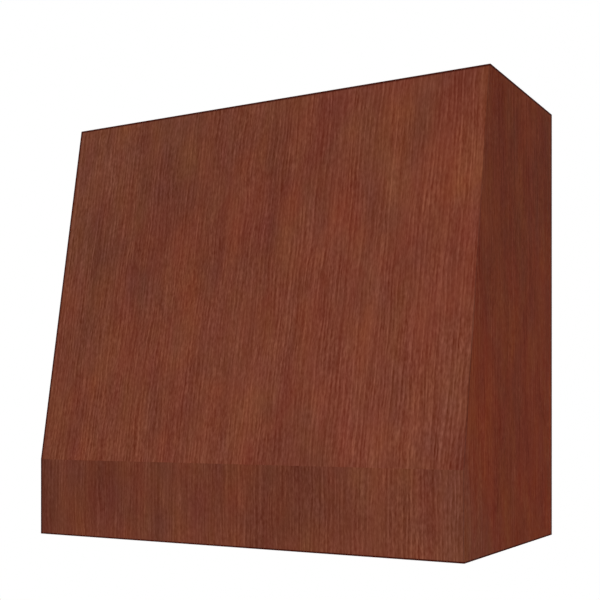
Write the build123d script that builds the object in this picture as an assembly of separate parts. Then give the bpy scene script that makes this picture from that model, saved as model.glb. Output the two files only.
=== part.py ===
from build123d import *
import os
from math import atan2, cos, sin, tan

# A wooden cover for a wall-mounted range hood, in millimetres.
# X runs across it, Y runs back to the wall at 0, and Z runs up from its bottom edges at 0.

# Overall sizes
width = 914.4
height = 848.0
bottom_depth = 490.0
top_depth = 366.0
apron_height = 152.0

# Veneered plywood and its edges
panel = 19.0
edge_band = 3.0
easing = 1.0
top_housing = 9.5

# Rails and the hanging cleats
rail_thickness = 19.0
upper_rail_height = 120.0
lower_rail_height = 140.0
cleat_thickness = 18.0
cleat_gap = 1.0
bevel_gap = 0.3
hook_cleat_height = 60.0
wall_cleat_height = 75.0
hook_cleat_end_gap = 6.0
wall_cleat_end_gap = 25.0

# Liner shelf and its ledgers
shelf_recess = 38.0
shelf_thickness = 19.0
shelf_clearance = 0.8
ledger_thickness = 19.0
ledger_height = 38.0
cutout_side_margin = 76.2
cutout_front_margin = 80.0
cutout_corner = 6.0

# Battens and corner blocks
crease_batten_thickness = 19.0
crease_batten_leg = 42.0
batten_above_ledger = 12.0
top_batten_thickness = 32.0
top_batten_height = 38.0
corner_block_leg = 28.0
corner_block_length = 90.0
corner_block_count = 3

# Holes for what is fastened to the cover
duct_hole = 216.0
stud_spacing = 406.4
wall_screw_hole = 7.0
wall_screw_sink = 13.0
insert_pilot = 3.0
insert_screw_outset = 10.0
insert_screw_inset = 40.0

# Wood screws, cup washers and dowels
screw_shank = 4.2
screw_head = 8.4
screw_head_height = 2.8
screw_point = 6.0
screw_gap = 0.15
drive_square = 2.6
drive_depth = 1.8
short_screw = 32.0
long_screw = 45.0
washer_width = 16.0
washer_height = 2.4
washer_rim = 0.6
dowel_width = 8.0
dowel_length = 40.0
dowel_in_side = 12.0
dowel_gap = 0.15
dowel_pitch = 70.0

# Screws in each row, and how far the last one is from the end of what it holds
top_screw_count = 4
top_screw_margin = 60.0
cleat_screw_count = 5
cleat_screw_margin = 98.0
long_ledger_screw_count = 5
long_ledger_screw_margin = 78.0
side_ledger_screw_count = 3
side_ledger_screw_margin = 67.0
long_shelf_screw_count = 3
long_shelf_screw_margin = 138.0
side_shelf_screw_count = 2
side_shelf_screw_margin = 97.0
crease_batten_screw_count = 4
crease_batten_screw_margin = 93.0
top_batten_screw_count = 3
top_batten_screw_margin = 190.0

# Worked out from the sizes above
slope = atan2(bottom_depth - top_depth, height - apron_height)
slope_inward = (0, cos(slope), -sin(slope))
half_width = width / 2
inner_half = half_width - panel
inner_front = -bottom_depth + panel
top_under = height - panel
rail_back = -(cleat_thickness + cleat_gap)
rail_front = rail_back - rail_thickness
bevel_foot = top_under - hook_cleat_height - cleat_gap - bevel_gap * 2**0.5
wall_cleat_tip = bevel_foot + cleat_thickness
wall_cleat_foot = wall_cleat_tip - wall_cleat_height
shelf_top = shelf_recess + shelf_thickness
shelf_middle = (inner_front - rail_thickness) / 2
ledger_top = shelf_top + ledger_height
ledger_middle = shelf_top + ledger_height / 2
front_ledger_back = inner_front + ledger_thickness
back_ledger_front = -rail_thickness - ledger_thickness
side_ledger_half = (back_ledger_front - front_ledger_back) / 2
cutout_width = 2 * (inner_half - cutout_side_margin)
cutout_depth = -rail_thickness - inner_front - 2 * cutout_front_margin
crease_batten_back = panel + crease_batten_thickness
top_batten_back = panel + top_batten_thickness


# Lines of the side view, as (y, z) points


def crease(inset):
    """Point of the crease, measured `inset` behind the outer faces."""
    return (-bottom_depth + inset, apron_height - inset * tan(slope / 2))


def front_at(z, inset):
    """Point of the front at height z, measured `inset` behind its outer face."""
    crease_y, crease_z = crease(inset)
    if z <= crease_z:
        return (crease_y, z)
    return (crease_y + (z - crease_z) * tan(slope), z)


crease_batten_foot = ledger_top + batten_above_ledger
crease_batten_head = crease(crease_batten_back)[1] + crease_batten_leg
duct_middle = (front_at(top_under, top_batten_back)[0] + rail_front) / 2


# Solids and cuts that several pieces share


def prism(outline, x_start, x_end):
    """Solid with a side-view outline, from x_start to x_end."""
    face = Plane.YZ.offset(x_start) * Polygon(*outline, align=None)
    return extrude(face, amount=x_end - x_start, dir=(1, 0, 0))


def between(x, y, z):
    """Rectangular solid from the low end to the high end given on each axis."""
    lengths = [high - low for low, high in (x, y, z)]
    return Pos(x[0], y[0], z[0]) * Box(*lengths, align=(Align.MIN, Align.MIN, Align.MIN))


def turned(outline):
    """Solid turned about Z from a half outline of (radius, z) points."""
    return revolve(Plane.XZ * Polygon(*outline, align=None), axis=Axis.Z)


def round_hole(middle, axis, across, thickness):
    """Cutter for a round hole through a board, twice as long as the board is thick."""
    return Plane(origin=middle, z_dir=axis).location * Cylinder(across / 2, 2 * thickness)


def row(count, reach):
    """Evenly spaced places from -reach to reach."""
    return [reach * (2 * number / (count - 1) - 1) for number in range(count)]


def group(pieces):
    """Like pieces that stay separate solids in one node."""
    return Compound([solid for piece in pieces for solid in piece.solids()])


def both_ends(board, cut):
    """Board with a cut made at its left end and, mirrored, at its right end."""
    for _ in range(2):
        board = mirror(cut(board), Plane.YZ)
    return board


def eased_outside():
    """The whole outside of the cover, with its front corners and bottom edges eased."""
    outline = [(0, 0), front_at(0, 0), crease(0), front_at(height, 0), (0, height)]
    solid = prism(outline, -half_width, half_width)
    crease_edge = solid.edges().sort_by_distance((0, *crease(0)))[0]
    worn = [edge for edge in solid.edges() if edge.center().Y < 0 and edge.center().Z < height]
    return fillet([edge for edge in worn if edge != crease_edge], easing)


outside = eased_outside()


def corner_mitre(lean):
    """Plane that halves the left front corner, where the front leans back by `lean`."""
    return Plane(origin=(-half_width, *crease(0)), z_dir=(-1, cos(lean), -sin(lean)))


def mitred_front(outline, lean):
    """Board across the front, mitred where it meets both sides."""
    board = prism(outline, -half_width, half_width)
    return outside & both_ends(board, lambda end: split(end, corner_mitre(lean), keep=Keep.BOTTOM))


def mitred_side(outline):
    """Left board, mitred where it meets the apron and the sloped front."""
    board = prism(outline, -half_width, -inner_half)
    at_crease = Plane(origin=(0, *crease(0)), z_dir=(0, sin(slope / 2), cos(slope / 2)))
    upper = split(split(board, at_crease, keep=Keep.TOP), corner_mitre(slope), keep=Keep.TOP)
    lower = split(split(board, at_crease, keep=Keep.BOTTOM), corner_mitre(0), keep=Keep.TOP)
    return outside & (upper + lower)


# Screws


def screw_profile(length, gap):
    """Countersunk screw grown by `gap`, with its head's flat at z 0 and its point down."""
    head = screw_head / 2 + gap
    shank = screw_shank / 2 + gap
    point_top = screw_point - length
    return turned([(0, 0), (head, 0), (shank, -screw_head_height), (shank, point_top), (0, -length - gap)])


def screw(length):
    """Countersunk wood screw with a square drive."""
    half_drive = (-drive_square / 2, drive_square / 2)
    return screw_profile(length, 0) - between(half_drive, half_drive, (-drive_depth, 0))


def facing(points, outward):
    """Places of screws, with their heads at the points and facing outward."""
    return [Plane(origin=point, z_dir=outward).location for point in points]


def drilled(board, places, length):
    """Board with a countersunk hole for each screw."""
    return board - [place * screw_profile(length, screw_gap) for place in places]


def screws_in(places, length):
    """Group of like screws."""
    return group([place * screw(length) for place in places])


def top_screw_places():
    """Down through the top panel, into the upper back rail and the top front batten."""
    middle_of_bite = top_under - (long_screw - panel) / 2
    batten_y = front_at(middle_of_bite, panel + top_batten_thickness / 2)[0]
    rail_y = (rail_back + rail_front) / 2
    across = row(top_screw_count, inner_half - top_screw_margin)
    return facing([(x, y, height) for y in (batten_y, rail_y) for x in across], (0, 0, 1))


def cleat_screw_places():
    """From the wall side, through the hook cleat into the upper back rail."""
    z = top_under - (hook_cleat_height - cleat_thickness) / 2
    across = row(cleat_screw_count, inner_half - cleat_screw_margin)
    return facing([(x, -cleat_gap, z) for x in across], (0, 1, 0))


def long_ledger_screw_places(y, outward):
    """Through the front or the back ledger into the board that it is on."""
    across = row(long_ledger_screw_count, inner_half - long_ledger_screw_margin)
    return facing([(x, y, ledger_middle) for x in across], outward)


front_ledger_screw_places = long_ledger_screw_places(front_ledger_back, (0, 1, 0))
back_ledger_screw_places = long_ledger_screw_places(back_ledger_front, (0, -1, 0))


def side_ledger_screw_places(x, outward):
    """Through the left or the right ledger into the side."""
    along = row(side_ledger_screw_count, side_ledger_half - side_ledger_screw_margin)
    return facing([(x, shelf_middle + y, ledger_middle) for y in along], outward)


left_ledger_screw_places = side_ledger_screw_places(ledger_thickness - inner_half, (1, 0, 0))
right_ledger_screw_places = side_ledger_screw_places(inner_half - ledger_thickness, (-1, 0, 0))


def shelf_screw_places():
    """Up through the cup washers and the liner shelf, into the four ledgers."""
    z = shelf_recess - washer_height
    to_row = side_ledger_half + ledger_thickness / 2
    side_x = inner_half - ledger_thickness / 2
    across = row(long_shelf_screw_count, inner_half - long_shelf_screw_margin)
    along = row(side_shelf_screw_count, side_ledger_half - side_shelf_screw_margin)
    long_rows = [(x, shelf_middle + y, z) for y in (-to_row, to_row) for x in across]
    side_rows = [(x, shelf_middle + y, z) for x in (-side_x, side_x) for y in along]
    return facing(long_rows + side_rows, (0, 0, -1))


def crease_batten_screw_places(end, outward):
    """Through one leg of the crease batten, halfway between the crease and the leg's end."""
    z = (crease(crease_batten_back)[1] + end) / 2
    across = row(crease_batten_screw_count, inner_half - crease_batten_screw_margin)
    return facing([(x, *front_at(z, crease_batten_back)) for x in across], outward)


lower_leg_screw_places = crease_batten_screw_places(crease_batten_foot, (0, 1, 0))
upper_leg_screw_places = crease_batten_screw_places(crease_batten_head, slope_inward)


def top_batten_screw_places():
    """Through the top front batten into the sloped front."""
    z = top_under - top_batten_height / 2
    across = row(top_batten_screw_count, inner_half - top_batten_screw_margin)
    return facing([(x, *front_at(z, top_batten_back)) for x in across], slope_inward)


# Dowels between the rails and the sides


def dowel_ends(rail_y, rail_middle):
    """Ends, inside the left side, of the two dowels of one rail."""
    x = -inner_half - dowel_in_side
    return [(x, rail_y, rail_middle + z) for z in row(2, dowel_pitch / 2)]


upper_dowels = dowel_ends((rail_back + rail_front) / 2, top_under - upper_rail_height / 2)
lower_dowels = dowel_ends(-rail_thickness / 2, lower_rail_height / 2)


def dowel(end, gap):
    """Dowel grown by `gap`, from its end in the left side."""
    rod = Cylinder(dowel_width / 2 + gap, dowel_length, align=(Align.CENTER, Align.CENTER, Align.MIN))
    return Plane(origin=end, z_dir=(1, 0, 0)).location * rod


def doweled(board, ends):
    """Board with its holes for dowels at the left."""
    return board - [dowel(end, dowel_gap) for end in ends]


def rail_dowels():
    """Group of the dowels in both ends of both rails."""
    left = [dowel(end, 0) for end in upper_dowels + lower_dowels]
    return group(left + [mirror(rod, Plane.YZ) for rod in left])


# Outer case


def left_side_panel():
    """Five-sided board with a housing for the top panel."""
    board = mitred_side([(0, edge_band), front_at(edge_band, 0), crease(0), front_at(height, 0), (0, height)])
    housing = [(0, top_under), front_at(top_under, panel), front_at(height, panel), (0, height)]
    board -= prism(housing, -inner_half - top_housing, -inner_half)
    board = doweled(board, upper_dowels + lower_dowels)
    return drilled(board, left_ledger_screw_places, short_screw)


def sloped_front_panel():
    """Board that leans back from the crease to the top."""
    board = mitred_front([crease(0), front_at(height, 0), front_at(height, panel), crease(panel)], slope)
    board = drilled(board, upper_leg_screw_places, short_screw)
    return drilled(board, top_batten_screw_places(), long_screw)


def front_apron():
    """Upright board below the crease."""
    board = mitred_front([front_at(edge_band, 0), crease(0), crease(panel), front_at(edge_band, panel)], 0)
    return drilled(board, front_ledger_screw_places + lower_leg_screw_places, short_screw)


def edge_band_front():
    """Solid-wood strip under the apron."""
    outer_face = [front_at(0, 0), front_at(edge_band, 0)]
    inner_face = [front_at(edge_band, panel), front_at(0, panel)]
    return mitred_front(outer_face + inner_face, 0)


def edge_band_left():
    """Solid-wood strip under the left side."""
    strip = between((-half_width, -inner_half), (-bottom_depth, 0), (0, edge_band))
    return outside & split(strip, corner_mitre(0), keep=Keep.TOP)


def top_panel():
    """Board in the sides' housings, with the round hole for the duct."""
    outline = [(0, top_under), front_at(top_under, panel), front_at(height, panel), (0, height)]
    reach = inner_half + top_housing
    board = prism(outline, -reach, reach)
    board -= round_hole((0, duct_middle, height), (0, 0, 1), duct_hole, panel)
    return drilled(board, top_screw_places(), long_screw)


# Rails and cleats


def upper_back_rail():
    """Rail under the top panel that carries the hook cleat."""
    rail_foot = top_under - upper_rail_height
    rail = between((-inner_half, inner_half), (rail_front, rail_back), (rail_foot, top_under))
    rail = both_ends(rail, lambda end: doweled(end, upper_dowels))
    rail = drilled(rail, top_screw_places(), long_screw)
    return drilled(rail, cleat_screw_places(), short_screw)


def lower_back_rail():
    """Rail against the wall, behind the liner shelf, with holes for two wall screws."""
    rail = between((-inner_half, inner_half), (-rail_thickness, 0), (0, lower_rail_height))
    rail = both_ends(rail, lambda end: doweled(end, lower_dowels))
    z = (ledger_top + lower_rail_height) / 2
    for x in row(2, stud_spacing / 2):
        rail -= round_hole((x, 0, z), (0, 1, 0), wall_screw_hole, rail_thickness)
    return drilled(rail, back_ledger_screw_places, short_screw)


def hook_cleat():
    """Strip on the upper back rail whose bevel hooks over the wall cleat."""
    foot = top_under - hook_cleat_height
    bevel = [(-cleat_gap, foot), (rail_back, foot + cleat_thickness)]
    reach = inner_half - hook_cleat_end_gap
    cleat = prism(bevel + [(rail_back, top_under), (-cleat_gap, top_under)], -reach, reach)
    return drilled(cleat, cleat_screw_places(), short_screw)


def wall_screw_cutter():
    """Cutter for a countersunk hole through the wall cleat, with its mouth at z 0."""
    sink_depth = (wall_screw_sink - wall_screw_hole) / 2
    hole = wall_screw_hole / 2
    end = -2 * cleat_thickness
    return turned([(0, 0), (wall_screw_sink / 2, 0), (hole, -sink_depth), (hole, end), (0, end)])


def wall_cleat():
    """Strip screwed to the wall, whose bevel carries the cover."""
    bevel = [(-cleat_thickness, wall_cleat_tip), (0, bevel_foot)]
    reach = inner_half - wall_cleat_end_gap
    cleat = prism(bevel + [(0, wall_cleat_foot), (-cleat_thickness, wall_cleat_foot)], -reach, reach)
    z = (wall_cleat_foot + bevel_foot) / 2
    holes = facing([(x, -cleat_thickness, z) for x in row(2, stud_spacing / 2)], (0, -1, 0))
    return cleat - [place * wall_screw_cutter() for place in holes]


# Liner shelf and its ledgers


def liner_shelf():
    """Removable board with the cut-out and the screw holes for the ventilator insert."""
    reach = inner_half - shelf_clearance
    depth = (inner_front + shelf_clearance, -rail_thickness - shelf_clearance)
    board = between((-reach, reach), depth, (shelf_recess, shelf_top))
    cutout = extrude(RectangleRounded(cutout_width, cutout_depth, cutout_corner), shelf_thickness)
    board -= Pos(0, shelf_middle, shelf_recess) * cutout
    for x in row(2, cutout_width / 2 + insert_screw_outset):
        for y in row(2, cutout_depth / 2 - insert_screw_inset):
            board -= round_hole((x, shelf_middle + y, shelf_recess), (0, 0, 1), insert_pilot, shelf_thickness)
    return drilled(board, shelf_screw_places(), short_screw)


def ledger(x, y, wall_screw_places):
    """Strip above the shelf, with holes for the screws into the case and those up from the shelf."""
    strip = between(x, y, (shelf_top, ledger_top))
    return drilled(strip, wall_screw_places + shelf_screw_places(), short_screw)


def shelf_ledger_front():
    """Ledger on the apron."""
    return ledger((-inner_half, inner_half), (inner_front, front_ledger_back), front_ledger_screw_places)


def shelf_ledger_back():
    """Ledger on the lower back rail."""
    return ledger((-inner_half, inner_half), (back_ledger_front, -rail_thickness), back_ledger_screw_places)


def shelf_ledger_left():
    """Ledger on the left side, between the two long ones."""
    x = (-inner_half, -inner_half + ledger_thickness)
    return ledger(x, (front_ledger_back, back_ledger_front), left_ledger_screw_places)


def ledger_screws():
    """Group of all the screws through the four ledgers into the case."""
    long_rows = front_ledger_screw_places + back_ledger_screw_places
    return screws_in(long_rows + left_ledger_screw_places + right_ledger_screw_places, short_screw)


def cup_washer():
    """Cup washer round a screw whose head's flat is at z 0."""
    mouth = screw_head / 2 + screw_gap + washer_rim
    outer = washer_width / 2
    rim_top = washer_rim - washer_height
    cup = turned([(0, -washer_height), (outer, -washer_height), (outer, rim_top), (mouth, 0), (0, 0)])
    return cup - screw_profile(short_screw, screw_gap)


def shelf_screw_washers():
    """Group of cup washers on the underside of the liner shelf."""
    return group([place * cup_washer() for place in shelf_screw_places()])


# Battens and corner blocks


def crease_batten():
    """Bent batten behind the crease."""
    front_face = [front_at(crease_batten_foot, panel), crease(panel), front_at(crease_batten_head, panel)]
    back_face = [
        front_at(crease_batten_head, crease_batten_back),
        crease(crease_batten_back),
        front_at(crease_batten_foot, crease_batten_back),
    ]
    batten = prism(front_face + back_face, -inner_half, inner_half)
    return drilled(batten, lower_leg_screw_places + upper_leg_screw_places, short_screw)


def top_front_batten():
    """Batten in the corner between the top panel and the sloped front."""
    foot = top_under - top_batten_height
    front_face = [front_at(foot, panel), front_at(top_under, panel)]
    back_face = [front_at(top_under, top_batten_back), front_at(foot, top_batten_back)]
    batten = prism(front_face + back_face, -inner_half, inner_half)
    return drilled(batten, top_batten_screw_places() + top_screw_places(), long_screw)


def corner_blocks_left():
    """Three-sided glue blocks, evenly spaced up the corner of the left side and the sloped front."""
    head = top_under - top_batten_height
    rise = corner_block_length * cos(slope)
    space = (head - crease_batten_head - corner_block_count * rise) / (corner_block_count + 1)
    corner = Polygon((0, 0), (corner_block_leg, 0), (0, corner_block_leg), align=None)
    blocks = []
    for number in range(corner_block_count):
        foot = front_at(crease_batten_head + space + number * (rise + space), panel)
        at_foot = Plane(origin=(-inner_half, *foot), x_dir=(1, 0, 0), z_dir=(0, sin(slope), cos(slope)))
        blocks.append(extrude(at_foot * corner, corner_block_length, dir=at_foot.z_dir))
    return group(blocks)


pieces = {
    "left_side_panel": left_side_panel(),
    "sloped_front_panel": sloped_front_panel(),
    "front_apron": front_apron(),
    "edge_band_front": edge_band_front(),
    "edge_band_left": edge_band_left(),
    "top_panel": top_panel(),
    "upper_back_rail": upper_back_rail(),
    "lower_back_rail": lower_back_rail(),
    "hook_cleat": hook_cleat(),
    "wall_cleat": wall_cleat(),
    "liner_shelf": liner_shelf(),
    "shelf_ledger_front": shelf_ledger_front(),
    "shelf_ledger_back": shelf_ledger_back(),
    "shelf_ledger_left": shelf_ledger_left(),
    "shelf_screw_washers": shelf_screw_washers(),
    "crease_batten": crease_batten(),
    "top_front_batten": top_front_batten(),
    "corner_blocks_left": corner_blocks_left(),
    "rail_dowels": rail_dowels(),
    "top_panel_screws": screws_in(top_screw_places(), long_screw),
    "hook_cleat_screws": screws_in(cleat_screw_places(), short_screw),
    "ledger_screws": ledger_screws(),
    "liner_shelf_screws": screws_in(shelf_screw_places(), short_screw),
    "crease_batten_screws": screws_in(lower_leg_screw_places + upper_leg_screw_places, short_screw),
    "top_batten_screws": screws_in(top_batten_screw_places(), long_screw),
}

for name in ("left_side_panel", "edge_band_left", "shelf_ledger_left", "corner_blocks_left"):
    pieces[name.replace("left", "right")] = mirror(pieces[name], Plane.YZ)

os.makedirs("parts", exist_ok=True)
for name, shape in pieces.items():
    export_step(shape, f"parts/{name}.step")
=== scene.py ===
import math

import bpy
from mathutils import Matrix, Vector


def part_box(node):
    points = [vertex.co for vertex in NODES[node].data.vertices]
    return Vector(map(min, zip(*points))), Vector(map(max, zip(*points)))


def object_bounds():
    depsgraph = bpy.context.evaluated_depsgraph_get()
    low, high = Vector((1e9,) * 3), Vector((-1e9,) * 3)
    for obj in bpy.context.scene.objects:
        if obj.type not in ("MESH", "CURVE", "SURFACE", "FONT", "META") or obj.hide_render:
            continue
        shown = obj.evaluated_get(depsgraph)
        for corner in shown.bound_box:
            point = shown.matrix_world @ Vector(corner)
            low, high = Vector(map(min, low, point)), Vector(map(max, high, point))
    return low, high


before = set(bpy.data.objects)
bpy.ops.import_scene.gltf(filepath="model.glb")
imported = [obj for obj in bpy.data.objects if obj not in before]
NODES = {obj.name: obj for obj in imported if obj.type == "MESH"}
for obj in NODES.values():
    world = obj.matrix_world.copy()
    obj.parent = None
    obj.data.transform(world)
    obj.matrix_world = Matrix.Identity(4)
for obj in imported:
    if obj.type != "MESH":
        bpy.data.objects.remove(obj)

# A wooden range hood cover: the looks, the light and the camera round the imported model.
# Lengths are in metres. X runs across the cover, Y back to the wall and Z up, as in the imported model.

RIGHT = Vector((1, 0, 0))
BACK = Vector((0, 1, 0))
UP = Vector((0, 0, 1))
DOWN_RIGHT = (RIGHT - UP).normalized()
DOWN_FRONT = (-BACK - UP).normalized()

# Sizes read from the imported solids
CAD_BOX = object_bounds()
BOX_LOW, BOX_HIGH = CAD_BOX
HALF_WIDTH = BOX_HIGH.x
TOP = BOX_HIGH.z
FRONT = BOX_LOW.y
CREASE_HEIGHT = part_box("front_apron")[1].z

# The slope, whose upper edge lies this far in front of the wall
SLOPE_TOP_FRONT = -0.366
SLOPE_LEAN = math.atan2(SLOPE_TOP_FRONT - FRONT, TOP - CREASE_HEIGHT)
UP_SLOPE = Vector((0, math.sin(SLOPE_LEAN), math.cos(SLOPE_LEAN)))
OUT_OF_SLOPE = Vector((0, -math.cos(SLOPE_LEAN), math.sin(SLOPE_LEAN)))

# Layers of the panels; the stain reaches round the outer corners by STAIN_WRAP
PANEL_THICKNESS = 0.019
FACE_VENEER = 0.0007
PLY_THICKNESS = 0.0027
STAIN_WRAP = 0.0011

# Figure of the stained veneer: the size of each part across the grain and along it
WANDER = (0.110, 0.340)
RIPPLE = (0.050, 0.120)
RING_FADING = (0.011, 0.060)
RING_SPACING = (0.020, 0.300)
LINES = (0.0040, 0.220)
FIBRES = (0.0034, 0.024)
PORES = (0.0028, 0.0088)
PATCHES = (0.040, 0.100)
BANDS = (0.045, 0.380)
CLOUDS = (0.088, 0.160)
BLUSH = (0.060, 0.140)
WARMTH = (0.050, 0.090)
STAIN_SPILL = (0.009, 0.009)
RING_WIDTH = 0.0085
WANDER_SWAY = 0.013
RIPPLE_SWAY = 0.009
SLOPE_GRAIN_LEAN = 0.010
SIDE_GRAIN_LEAN = 0.03

# Figure of the other woods, in the same way; PITH is where the rings' middle lies across and into a board
BIRCH_FIGURE = (0.045, 0.55)
BIRCH_FIBRES = (0.0016, 0.030)
PLYWOOD_FIBRES = (0.0012, 0.020)
BAND_FIBRES = (0.0012, 0.030)
BAND_STREAKS = (0.010, 0.120)
SOLID_WANDER = (0.10, 0.60)
SOLID_FIBRES = (0.0010, 0.025)
SOLID_STREAKS = (0.020, 0.500)
SOLID_RING_WIDTH = 0.0055
PITH = (-0.31, -0.12)
POPLAR_SEED_STEP = 13.0

# Noise that is the same in every direction, in crests to a metre
PLY_RAGGEDNESS = 260.0
PLY_FIBRES = 900.0
ZINC_MOTTLE = 700.0
ZINC_SCRATCHES = 4000.0

# Lines of painted shade along the outer edges and corners: (axis, place on it, reach, strength)
TOP_EDGE = (UP, TOP, 0.0055, 1.0)
BACK_EDGE = (BACK, 0.0, 0.0100, 0.75)
LEFT_EDGE = (-RIGHT, HALF_WIDTH, 0.0064, 1.0)
RIGHT_EDGE = (RIGHT, HALF_WIDTH, 0.0036, 0.5)

# Soft darker patches: (change, x, z, half width, half height)
DARK_MIDDLE = (-0.13, 0.12, 0.12, 0.14, 0.24)
DARK_LEFT = (-0.13, -0.46, 0.22, 0.12, 0.16)
DARK_RIGHT = (-0.10, 0.39, 0.52, 0.07, 0.12)

# Fine relief and specular levels
VENEER_RELIEF = 0.0001
SOLID_RELIEF = 0.0001
PLYWOOD_RELIEF = 0.00008
BAND_RELIEF = 0.00008
ZINC_RELIEF = 0.00002
STAINED_SPECULAR = 0.004
BARE_SPECULAR = 0.3
ZINC_SPECULAR = 0.5

# Colours, as linear red, green and blue
BROWN_DARK = (0.098, 0.0203, 0.0065)
BROWN_LIGHT = (0.235, 0.0833, 0.0520)
RED_DARK = (0.110, 0.0010, 0.0002)
RED_LIGHT = (0.238, 0.0535, 0.0242)
# Painted shade along the outer edges and corners
PAINTED_EDGE_SHADE = (0.052, 0.0080, 0.0045)
# The edge band's stain, darkened further as painted shade along the bottom edges
BAND_SHADED_DARK = (0.034, 0.0045, 0.0025)
BAND_SHADED_LIGHT = (0.080, 0.0130, 0.0070)
BIRCH_DARK = (0.50, 0.330, 0.180)
BIRCH_LIGHT = (0.70, 0.520, 0.330)
BIRCH_END = (0.36, 0.220, 0.115)
GLUE_LINE = (0.16, 0.085, 0.040)
POPLAR_DARK = (0.45, 0.335, 0.190)
POPLAR_LIGHT = (0.68, 0.545, 0.350)
POPLAR_HEART = (0.36, 0.330, 0.180)
BEECH_DARK = (0.48, 0.270, 0.150)
BEECH_LIGHT = (0.66, 0.430, 0.260)
ZINC_DARK = (0.50, 0.50, 0.49)
ZINC_LIGHT = (0.72, 0.72, 0.70)
FLOOR_WHITE = (0.75, 0.75, 0.75)
WHITE = (1.0, 1.0, 1.0)

# Stage and light; KEY_FROM points at the lamp
FLOOR_HEIGHT = -1.676
FLOOR_REACH = 12.0
FLOOR_CORNERS = 96
FLOOR_PALENESS = 0.6
SKY_LIGHT = 0.75
KEY_LIGHT = 0.92
KEY_WIDTH = math.radians(35)
KEY_FROM = Vector((-0.10, -0.78, 0.62))

# Camera
SENSOR_WIDTH = 36.0
LENS = 64.994
LENS_SHIFT = 0.1915
CAMERA_PLACE = (1.0899, -2.1535, 0.2421)
CAMERA_TURN = 0.51422

# Sockets of the Mix node for colours
MIX_FIRST = 6
MIX_SECOND = 7
MIX_RESULT = 2


# Shader node helpers


def add_node(tree, kind, inputs=(), **settings):
    """Adds a shader node. `inputs` gives each socket a plain value or another node's output."""
    node = tree.nodes.new("ShaderNode" + kind)
    for name, value in settings.items():
        setattr(node, name, value)
    for socket, value in dict(inputs).items():
        if isinstance(value, bpy.types.NodeSocket):
            tree.links.new(value, node.inputs[socket])
        else:
            node.inputs[socket].default_value = value
    return node


def calc(tree, operation, *values):
    """One step of arithmetic."""
    return add_node(tree, "Math", enumerate(values), operation=operation).outputs[0]


def weighted_sum(tree, base, terms):
    """`base` plus each term's value times its weight."""
    total = base
    for weight, value in terms:
        total = calc(tree, "MULTIPLY_ADD", value, weight, total)
    return total


def limited(tree, value):
    """`value`, kept between 0 and 1."""
    return calc(tree, "MINIMUM", calc(tree, "MAXIMUM", value, 0.0), 1.0)


def ramp_between(tree, value, start, end):
    """0 up to `start`, 1 from `end` on, and a smooth rise between them; `start` may lie above `end`."""
    inputs = {"Value": value, "From Min": start, "From Max": end}
    return add_node(tree, "MapRange", inputs, interpolation_type="SMOOTHSTEP").outputs["Result"]


def along_axis(tree, position, axis):
    """How far `position` lies along a unit vector."""
    inputs = {0: position, 1: axis}
    return add_node(tree, "VectorMath", inputs, operation="DOT_PRODUCT").outputs["Value"]


def mix_colours(tree, amount, first, second):
    """`first` where amount is 0 and `second` where it is 1."""
    node = add_node(tree, "Mix", {"Factor": amount}, data_type="RGBA")
    for socket, colour in ((node.inputs[MIX_FIRST], first), (node.inputs[MIX_SECOND], second)):
        if isinstance(colour, bpy.types.NodeSocket):
            tree.links.new(colour, socket)
        else:
            socket.default_value = (*colour, 1.0)
    return node.outputs[MIX_RESULT]


def noise(tree, position, detail=2.0, distortion=0.0):
    """Smooth noise about 0, mostly within 0.25 of it, one unit of `position` from crest to crest."""
    inputs = {
        "Vector": position, "Scale": 1.0, "Detail": detail, "Roughness": 0.5, "Distortion": distortion,
    }
    return calc(tree, "SUBTRACT", add_node(tree, "TexNoise", inputs).outputs[0], 0.5)


def even_noise(tree, position, crests):
    """Noise that is the same in every direction, with `crests` to a metre."""
    inputs = {"Vector": position, "Scale": crests}
    return noise(tree, add_node(tree, "VectorMath", inputs, operation="SCALE").outputs[0])


# Boards


class Board:
    """Places on one board: across its grain, along it and into it, in metres, from the rest position."""

    def __init__(self, tree, across, along, seed):
        self.tree = tree
        self.position = add_node(tree, "TexCoord").outputs["Object"]
        self.across = along_axis(tree, self.position, across)
        self.along = along_axis(tree, self.position, along)
        self.into = along_axis(tree, self.position, across.cross(along))
        self.seed = seed

    def stretched(self, width, length, sway=0.0):
        """Own coordinates in units of `width` across and into the grain and `length` along it, moved `sway`
        metres across."""
        across = calc(self.tree, "ADD", self.across, sway)
        inputs = {
            "X": calc(self.tree, "MULTIPLY_ADD", across, 1 / width, self.seed),
            "Y": calc(self.tree, "MULTIPLY", self.along, 1 / length),
            "Z": calc(self.tree, "MULTIPLY", self.into, 1 / width),
        }
        return add_node(self.tree, "CombineXYZ", inputs).outputs[0]


def slow_change(board, base, *changes):
    """`base` plus slow changes over the board, each (weight, axis, start, end)."""
    total = base
    for weight, axis, start, end in changes:
        share = ramp_between(board.tree, along_axis(board.tree, board.position, axis), start, end)
        total = calc(board.tree, "MULTIPLY_ADD", share, weight, total)
    return total


def soft_patches(board, base, patches):
    """`base` plus soft patches on the board, each (change, x, z, half width, half height)."""
    tree = board.tree
    total = base
    for change, x, z, half_width, half_height in patches:
        inputs = {
            "X": calc(tree, "MULTIPLY", along_axis(tree, board.position, RIGHT), 1 / half_width),
            "Y": calc(tree, "MULTIPLY", along_axis(tree, board.position, UP), 1 / half_height),
        }
        place = add_node(tree, "CombineXYZ", inputs).outputs[0]
        middle = (x / half_width, z / half_height, 0.0)
        away = add_node(tree, "VectorMath", {0: place, 1: middle}, operation="DISTANCE").outputs["Value"]
        total = calc(tree, "MULTIPLY_ADD", ramp_between(tree, away, 1.0, 0.0), change, total)
    return total


# Stained veneer


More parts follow.
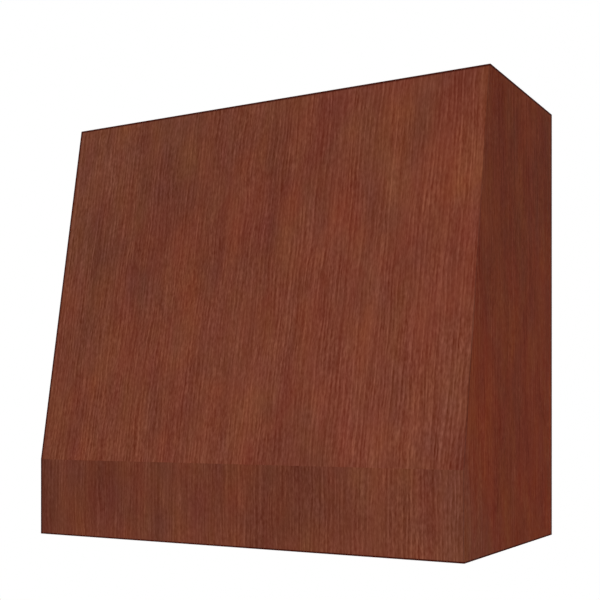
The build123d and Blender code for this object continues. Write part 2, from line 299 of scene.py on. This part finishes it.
def veneer_rings(board, sway):
    """Growth rings, each paler towards its end, which are fainter in places and vary in width."""
    tree = board.tree
    fading = ramp_between(tree, noise(tree, board.stretched(*RING_FADING, sway=sway)), -0.20, 0.20)
    spacing = noise(tree, board.stretched(*RING_SPACING, sway=sway))
    places = calc(tree, "MULTIPLY", calc(tree, "ADD", board.across, sway), 1 / RING_WIDTH)
    ring = calc(tree, "FRACT", calc(tree, "MULTIPLY_ADD", spacing, 2.4, places))
    paleness = calc(tree, "SUBTRACT", ramp_between(tree, ring, 0.20, 0.90), 0.45)
    return calc(tree, "MULTIPLY", paleness, calc(tree, "ADD", fading, 0.3))


def veneer_grain(board, waviness, streakiness, contrast):
    """Fine upright grain, as tone about 0 and as height: rings, lines, fibres and pores that sway alike."""
    tree = board.tree
    wander = noise(tree, board.stretched(*WANDER), detail=1.0)
    ripple = noise(tree, board.stretched(*RIPPLE), detail=1.0)
    sway = weighted_sum(tree, 0.0, ((WANDER_SWAY * waviness, wander), (RIPPLE_SWAY * waviness, ripple)))
    rings = veneer_rings(board, sway)
    lines = noise(tree, board.stretched(*LINES, sway=sway), detail=1.0)
    fibres = noise(tree, board.stretched(*FIBRES, sway=sway), detail=1.0)
    pores = noise(tree, board.stretched(*PORES, sway=sway), detail=1.0)
    line_weight = calc(tree, "MULTIPLY_ADD", streakiness, 0.20, 0.58)
    pore_weight = calc(tree, "MULTIPLY_ADD", streakiness, -0.24, 0.80)
    tone = weighted_sum(tree, 0.0, (
        (0.27, rings), (line_weight, lines), (0.68, fibres), (pore_weight, pores),
    ))
    skewed = calc(tree, "MULTIPLY", tone, calc(tree, "MULTIPLY_ADD", tone, 0.5, 1.0))
    strength = calc(tree, "MULTIPLY_ADD", noise(tree, board.stretched(*PATCHES)), 1.4, 1.0)
    height = weighted_sum(tree, 0.5, ((0.6, pores), (0.4, lines), (0.2, rings)))
    return calc(tree, "MULTIPLY", skewed, calc(tree, "MULTIPLY", strength, contrast)), height


def veneer_colour(board, grain, banding, shade, redness, blueness):
    """Colour of the stain over the fine grain, with broad bands, clouds and slow changes of hue."""
    tree = board.tree
    bands = noise(tree, board.stretched(*BANDS), detail=1.0, distortion=0.3)
    clouds = noise(tree, board.stretched(*CLOUDS), distortion=0.4)
    blush = noise(tree, board.stretched(*BLUSH), distortion=0.4)
    warmth = noise(tree, board.stretched(*WARMTH), distortion=0.4)
    broad = weighted_sum(tree, 0.0, ((banding, bands), (1.6, clouds)))
    tone = limited(tree, calc(tree, "ADD", grain, calc(tree, "MULTIPLY_ADD", broad, 0.14, 0.5)))
    hue = weighted_sum(tree, calc(tree, "ADD", redness, 0.27), ((0.86, blush), (0.14, broad)))
    brown = mix_colours(tree, tone, BROWN_DARK, BROWN_LIGHT)
    red = mix_colours(tree, tone, RED_DARK, RED_LIGHT)
    shade_here = calc(tree, "MULTIPLY", shade, calc(tree, "MULTIPLY_ADD", broad, 0.24, 1.0))
    blue_share = weighted_sum(tree, blueness, ((-0.39, warmth), (-0.26, broad), (0.34, blush)))
    inputs = {"X": shade_here, "Y": shade_here, "Z": calc(tree, "MULTIPLY", shade_here, blue_share)}
    strengths = add_node(tree, "CombineXYZ", inputs).outputs[0]
    inputs = {0: mix_colours(tree, limited(tree, hue), brown, red), 1: strengths}
    return add_node(tree, "VectorMath", inputs, operation="MULTIPLY").outputs[0]


def stained_face(
    board, edges, contrast, shade, redness,
    waviness=1.0, banding=0.6, streakiness=(0.0,), blueness=1.0, patches=(),
):
    """Colour and height of reddish-brown stained veneer.

    `contrast` is the strength of the fine grain, `streakiness` runs from -1, short pores, to 1, long
    streaks, `shade` multiplies the colour and `redness` moves it from brown to red. Each of these is a value
    and its slow changes over the board; the slow changes of `shade` are painted light and shade together
    with the veneer's own tone. `waviness` bends the grain, `banding` is the strength of its broad bands,
    `blueness` multiplies its blue, and `patches` are soft changes of the shade. `edges` are the lines of
    painted shade along the outer edges."""
    tree = board.tree
    grain, height = veneer_grain(
        board, waviness, slow_change(board, *streakiness), slow_change(board, *contrast),
    )
    shade_here = soft_patches(board, slow_change(board, *shade), patches)
    colour = veneer_colour(board, grain, banding, shade_here, slow_change(board, *redness), blueness)
    # Painted shade: the colour darkens towards each outer edge
    for axis, place, reach, strength in edges:
        away = calc(tree, "SUBTRACT", place, along_axis(tree, board.position, axis))
        edge_shade_share = calc(tree, "MULTIPLY", ramp_between(tree, away, reach, 0.4 * reach), strength)
        colour = mix_colours(tree, edge_shade_share, colour, PAINTED_EDGE_SHADE)
    return colour, height


# Birch plywood


def birch_face(board):
    """Colour of a rotary-cut birch face."""
    tree = board.tree
    figure = noise(tree, board.stretched(*BIRCH_FIGURE), detail=3.0, distortion=1.4)
    fibres = noise(tree, board.stretched(*BIRCH_FIBRES))
    tone = weighted_sum(tree, 0.55, ((1.4, figure), (0.7, fibres)))
    return mix_colours(tree, tone, BIRCH_DARK, BIRCH_LIGHT)


def ply_edge(tree, depth, position):
    """Colour of a plywood edge: plies of long and end grain in turn, with dark glue lines between them."""
    ragged = even_noise(tree, position, PLY_RAGGEDNESS)
    wandering = calc(tree, "MULTIPLY_ADD", ragged, 0.0003, depth)
    odd = calc(tree, "PINGPONG", calc(tree, "MULTIPLY", wandering, 1 / PLY_THICKNESS), 1.0)
    fibres = even_noise(tree, position, PLY_FIBRES)
    tone = weighted_sum(tree, 0.5, ((1.2, fibres), (0.8, ragged)))
    plies = mix_colours(tree, ramp_between(tree, odd, 0.45, 0.55), BIRCH_END, BIRCH_LIGHT)
    plies = mix_colours(tree, calc(tree, "MULTIPLY", tone, 0.5), plies, BIRCH_DARK)
    seam = calc(tree, "ABSOLUTE", calc(tree, "SUBTRACT", odd, 0.5))
    return mix_colours(tree, ramp_between(tree, seam, 0.10, 0.03), plies, GLUE_LINE)


# Materials


def new_material(name, specular):
    """A node material and its shader, with everything but its specular level still to be set."""
    material = bpy.data.materials.new(name)
    material.use_nodes = True
    shader = material.node_tree.nodes["Principled BSDF"]
    shader.inputs["Specular IOR Level"].default_value = specular
    return material, material.node_tree, shader


def finish_surface(tree, shader, colour, height, relief, roughness):
    """Connects the colour, a fine relief in metres and a roughness that varies with it."""
    tree.links.new(colour, shader.inputs["Base Color"])
    tree.links.new(roughness, shader.inputs["Roughness"])
    bump = add_node(tree, "Bump", {"Height": height, "Strength": 1.0, "Distance": relief})
    tree.links.new(bump.outputs[0], shader.inputs["Normal"])


def panel_material(name, face_point, out, along, seed, **looks):
    """The whole panel: stained outside, plies on its raw edges and bare birch inside.

    `out` points out of the stained face, `face_point` lies on that face, and `along` follows its grain."""
    material, tree, shader = new_material(name, STAINED_SPECULAR)
    board = Board(tree, along.cross(out), along, seed)
    stained, height = stained_face(board, **looks)
    depth = calc(tree, "SUBTRACT", face_point.dot(out), along_axis(tree, board.position, out))
    spill = calc(tree, "MULTIPLY_ADD", noise(tree, board.stretched(*STAIN_SPILL)), 0.0012, depth)
    inner = ramp_between(tree, depth, PANEL_THICKNESS - 1.2 * FACE_VENEER, PANEL_THICKNESS - FACE_VENEER)
    raw = mix_colours(tree, inner, ply_edge(tree, depth, board.position), birch_face(board))
    colour = mix_colours(tree, ramp_between(tree, spill, STAIN_WRAP, 1.4 * STAIN_WRAP), stained, raw)
    finish_surface(tree, shader, colour, height, VENEER_RELIEF, weighted_sum(tree, 0.68, ((-0.2, height),)))
    return material


def edge_band_material():
    """Thin solid band in the same stain, darkened further as painted shade along the bottom edges."""
    material, tree, shader = new_material("stained_edge_band", STAINED_SPECULAR)
    board = Board(tree, BACK, RIGHT, seed=3.0)
    fibres = noise(tree, board.stretched(*BAND_FIBRES), detail=3.0)
    streaks = noise(tree, board.stretched(*BAND_STREAKS))
    tone = weighted_sum(tree, 0.45, ((1.2, fibres), (1.0, streaks)))
    colour = mix_colours(tree, tone, BAND_SHADED_DARK, BAND_SHADED_LIGHT)
    height = calc(tree, "ADD", fibres, 0.5)
    finish_surface(tree, shader, colour, height, BAND_RELIEF, weighted_sum(tree, 0.6, ((-0.3, fibres),)))
    return material


def plywood_material(name, low, seed):
    """Bare birch plywood that lies flat, with its lower face at height `low`."""
    material, tree, shader = new_material(name, BARE_SPECULAR)
    board = Board(tree, BACK, RIGHT, seed)
    depth = calc(tree, "SUBTRACT", along_axis(tree, board.position, UP), low)
    from_middle = calc(tree, "ABSOLUTE", calc(tree, "SUBTRACT", depth, PANEL_THICKNESS / 2))
    skin = PANEL_THICKNESS / 2 - FACE_VENEER
    on_face = ramp_between(tree, from_middle, skin, skin + 0.3 * FACE_VENEER)
    colour = mix_colours(tree, on_face, ply_edge(tree, depth, board.position), birch_face(board))
    fibres = noise(tree, board.stretched(*PLYWOOD_FIBRES))
    height = calc(tree, "ADD", fibres, 0.5)
    finish_surface(tree, shader, colour, height, PLYWOOD_RELIEF, weighted_sum(tree, 0.6, ((0.2, fibres),)))
    return material


def solid_wood(name, along, across, seed, dark, light, heart):
    """Planed solid wood: rings round a far pith, so that faces show straight grain and ends show arcs."""
    material, tree, shader = new_material(name, BARE_SPECULAR)
    board = Board(tree, across, along, seed)
    wander = noise(tree, board.stretched(*SOLID_WANDER))
    squares = [
        calc(tree, "POWER", calc(tree, "SUBTRACT", place, pith), 2.0)
        for place, pith in zip((board.across, board.into), PITH)
    ]
    radius = calc(tree, "MULTIPLY_ADD", wander, 0.03, calc(tree, "SQRT", calc(tree, "ADD", *squares)))
    ring = calc(tree, "FRACT", calc(tree, "MULTIPLY", radius, 1 / SOLID_RING_WIDTH))
    late = ramp_between(tree, ring, 0.55, 0.98)
    fibres = noise(tree, board.stretched(*SOLID_FIBRES), detail=3.0)
    streaks = noise(tree, board.stretched(*SOLID_STREAKS), distortion=0.5)
    tone = weighted_sum(tree, 0.62, ((-0.22, late), (0.8, fibres), (0.8, streaks)))
    colour = mix_colours(tree, tone, dark, light)
    colour = mix_colours(tree, ramp_between(tree, streaks, 0.07, 0.30), colour, heart)
    height = weighted_sum(tree, 0.5, ((0.7, fibres), (-0.3, late)))
    finish_surface(tree, shader, colour, height, SOLID_RELIEF, weighted_sum(tree, 0.62, ((0.2, fibres),)))
    return material


def zinc_material():
    """Bright zinc plate, slightly mottled and finely scratched."""
    material, tree, shader = new_material("zinc_steel", ZINC_SPECULAR)
    shader.inputs["Metallic"].default_value = 1.0
    position = add_node(tree, "TexCoord").outputs["Object"]
    mottle = even_noise(tree, position, ZINC_MOTTLE)
    scratches = even_noise(tree, position, ZINC_SCRATCHES)
    tone = weighted_sum(tree, 0.5, ((1.5, mottle), (0.6, scratches)))
    colour = mix_colours(tree, tone, ZINC_DARK, ZINC_LIGHT)
    height = calc(tree, "ADD", scratches, 0.5)
    finish_surface(tree, shader, colour, height, ZINC_RELIEF, weighted_sum(tree, 0.34, ((0.4, mottle),)))
    return material


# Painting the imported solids


def paint(node, material):
    """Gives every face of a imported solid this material."""
    mesh = NODES[node].data
    mesh.materials.clear()
    mesh.materials.append(material)


def paint_slope():
    paint("sloped_front_panel", panel_material(
        "stained_veneer_slope",
        face_point=Vector((0, FRONT, CREASE_HEIGHT)),
        out=OUT_OF_SLOPE,
        along=(UP_SLOPE + SLOPE_GRAIN_LEAN * RIGHT).normalized(),
        seed=16.0,
        edges=(TOP_EDGE, LEFT_EDGE, RIGHT_EDGE),
        contrast=(0.95, (-0.05, RIGHT, 0.18, 0.38), (0.14, DOWN_RIGHT, -0.05, 0.15)),
        streakiness=(-0.45, (0.7, RIGHT, -0.10, 0.30), (0.25, UP, 0.35, 0.65)),
        # Painted light and shade together with the veneer's tone: darker to the upper left, lighter to the
        # lower right, towards the left end and along the top
        shade=(
            0.885, (0.235, DOWN_RIGHT, -0.80, 0.10), (0.06, -RIGHT, 0.24, 0.42), (0.04, UP, 0.70, TOP),
        ),
        patches=(DARK_MIDDLE, DARK_LEFT, DARK_RIGHT),
        redness=(0.03, (-0.22, DOWN_RIGHT, -0.45, -0.80)),
    ))


def paint_apron():
    paint("front_apron", panel_material(
        "stained_veneer_apron",
        face_point=Vector((0, FRONT, 0)),
        out=-BACK,
        along=UP,
        seed=47.0,
        edges=(LEFT_EDGE, RIGHT_EDGE),
        contrast=(0.75, (0.22, RIGHT, -0.35, 0.35)),
        # Painted light and shade together with the veneer's tone: lighter towards the right end and the
        # bottom, darker just under the crease and at the left end
        shade=(
            0.87, (0.14, RIGHT, -0.35, 0.45), (0.07, RIGHT, 0.39, 0.44), (-0.01, UP, 0.11, CREASE_HEIGHT),
            (0.05, UP, 0.05, 0.0), (-0.11, -RIGHT, HALF_WIDTH - 0.06, HALF_WIDTH),
        ),
        patches=(DARK_MIDDLE,),
        redness=(0.0, (-0.11, RIGHT, 0.20, 0.45), (-0.10, RIGHT, 0.39, 0.44)),
    ))


def paint_sides():
    for name, side, seed in (("left_side", -RIGHT, 83.0), ("right_side", RIGHT, 139.0)):
        paint(name + "_panel", panel_material(
            name + "_veneer",
            face_point=side * HALF_WIDTH,
            out=side,
            along=(UP - SIDE_GRAIN_LEAN * BACK).normalized(),
            seed=seed,
            edges=(TOP_EDGE, BACK_EDGE),
            contrast=(0.8,),
            # Painted shade together with the veneer's tone: the sides are redder and less blue than the
            # front and darker towards the top, and lighter towards the front and the lower front corner
            shade=(
                1.05, (-0.17, UP, 0.10, TOP + 0.05), (0.03, -BACK, 0.25, 0.45),
                (0.10, DOWN_FRONT, 0.14, 0.30),
            ),
            redness=(0.345, (0.12, UP, 0.50, 0.20), (-0.40, DOWN_FRONT, 0.14, 0.30)),
            waviness=0.6,
            banding=0.8,
            blueness=0.90,
        ))


def paint_edge_bands():
    band = edge_band_material()
    for node in ("edge_band_front", "edge_band_left", "edge_band_right"):
        paint(node, band)


def paint_plywood():
    for node, seed in (("top_panel", 17.0), ("liner_shelf", 48.0)):
        paint(node, plywood_material("birch_" + node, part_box(node)[0].z, seed))


def paint_solid_wood():
    """Poplar boards, each with its own grain, and beech dowels."""
    across_cover = (
        "upper_back_rail", "lower_back_rail", "hook_cleat", "wall_cleat", "shelf_ledger_front",
        "shelf_ledger_back", "crease_batten", "top_front_batten",
    )
    groups = (
        (across_cover, RIGHT, UP, 5.0),
        (("shelf_ledger_left", "shelf_ledger_right"), BACK, UP, 207.0),
        (("corner_blocks_left", "corner_blocks_right"), UP_SLOPE, RIGHT, 307.0),
    )
    for nodes, along, across, first_seed in groups:
        for number, node in enumerate(nodes):
            seed = first_seed + POPLAR_SEED_STEP * number
            paint(node, solid_wood(
                "poplar_" + node, along, across, seed, POPLAR_DARK, POPLAR_LIGHT, POPLAR_HEART,
            ))
    paint("rail_dowels", solid_wood("beech_dowel", RIGHT, UP, 401.0, BEECH_DARK, BEECH_LIGHT, BEECH_DARK))


def paint_fasteners():
    zinc = zinc_material()
    fasteners = (
        "top_panel_screws", "hook_cleat_screws", "ledger_screws", "liner_shelf_screws",
        "crease_batten_screws", "top_batten_screws", "shelf_screw_washers",
    )
    for node in fasteners:
        paint(node, zinc)


# Stage, light and camera


def seen_directly(tree):
    """1 for what the camera sees itself, in a reflection or through glass, and 0 for light on a surface."""
    path = add_node(tree, "LightPath")
    seen = calc(tree, "MAXIMUM", path.outputs["Is Camera Ray"], path.outputs["Is Glossy Ray"])
    return calc(tree, "MAXIMUM", seen, path.outputs["Is Transmission Ray"])


def make_world():
    """White where it is seen, and the soft light that fills the shadows."""
    world = bpy.data.worlds.new("studio")
    world.use_nodes = True
    tree = world.node_tree
    tree.nodes.clear()
    strength = calc(tree, "MULTIPLY_ADD", seen_directly(tree), 1.0 - SKY_LIGHT, SKY_LIGHT)
    background = add_node(tree, "Background", {"Color": (*WHITE, 1.0), "Strength": strength})
    output = add_node(tree, "OutputWorld")
    tree.links.new(background.outputs[0], output.inputs[0])
    bpy.context.scene.world = world


def make_key_light():
    lamp = bpy.data.lights.new("key_light", "SUN")
    lamp.energy = KEY_LIGHT
    lamp.angle = KEY_WIDTH
    lamp_object = bpy.data.objects.new("key_light", lamp)
    lamp_object.rotation_mode = "QUATERNION"
    lamp_object.rotation_quaternion = KEY_FROM.to_track_quat("Z", "Y")
    bpy.context.scene.collection.objects.link(lamp_object)


def floor_material():
    """White that keeps the cover's shadow near the middle and fades into the white world further out."""
    material = bpy.data.materials.new("floor_white")
    material.use_nodes = True
    tree = material.node_tree
    tree.nodes.clear()
    position = add_node(tree, "TexCoord").outputs["Object"]
    reach = add_node(tree, "VectorMath", {0: position}, operation="LENGTH").outputs["Value"]
    fading = ramp_between(tree, reach, 0.1 * FLOOR_REACH, 0.8 * FLOOR_REACH)
    paleness = calc(tree, "MULTIPLY_ADD", fading, 1.0 - FLOOR_PALENESS, FLOOR_PALENESS)
    background = calc(tree, "MULTIPLY", paleness, seen_directly(tree))
    plain = add_node(tree, "BsdfDiffuse", {"Color": (*FLOOR_WHITE, 1.0)})
    white = add_node(tree, "Emission", {"Color": (*WHITE, 1.0), "Strength": 1.0})
    mixed = add_node(tree, "MixShader", {0: background, 1: plain.outputs[0], 2: white.outputs[0]})
    output = add_node(tree, "OutputMaterial")
    tree.links.new(mixed.outputs[0], output.inputs[0])
    return material


def make_floor():
    """A round white floor at the height where a kitchen floor lies under a cover of this kind."""
    mesh = bpy.data.meshes.new("floor")
    turn = 2 * math.pi / FLOOR_CORNERS
    rim = [
        (FLOOR_REACH * math.cos(turn * step), FLOOR_REACH * math.sin(turn * step), FLOOR_HEIGHT)
        for step in range(FLOOR_CORNERS)
    ]
    mesh.from_pydata(rim, [], [range(FLOOR_CORNERS)])
    mesh.materials.append(floor_material())
    floor = bpy.data.objects.new("floor", mesh)
    bpy.context.scene.collection.objects.link(floor)


def make_camera():
    """The photograph's camera: level, 29.5 degrees round to the right, a little above the bottom edges."""
    lens_data = bpy.data.cameras.new("camera")
    lens_data.sensor_width = SENSOR_WIDTH
    lens_data.lens = LENS
    lens_data.shift_y = LENS_SHIFT
    camera = bpy.data.objects.new("camera", lens_data)
    camera.location = CAMERA_PLACE
    camera.rotation_euler = (math.pi / 2, 0, CAMERA_TURN)
    bpy.context.scene.collection.objects.link(camera)
    bpy.context.scene.camera = camera


paint_slope()
paint_apron()
paint_sides()
paint_edge_bands()
paint_plywood()
paint_solid_wood()
paint_fasteners()
make_world()
make_key_light()
make_floor()
make_camera()
bpy.context.scene.view_settings.view_transform = "Standard"
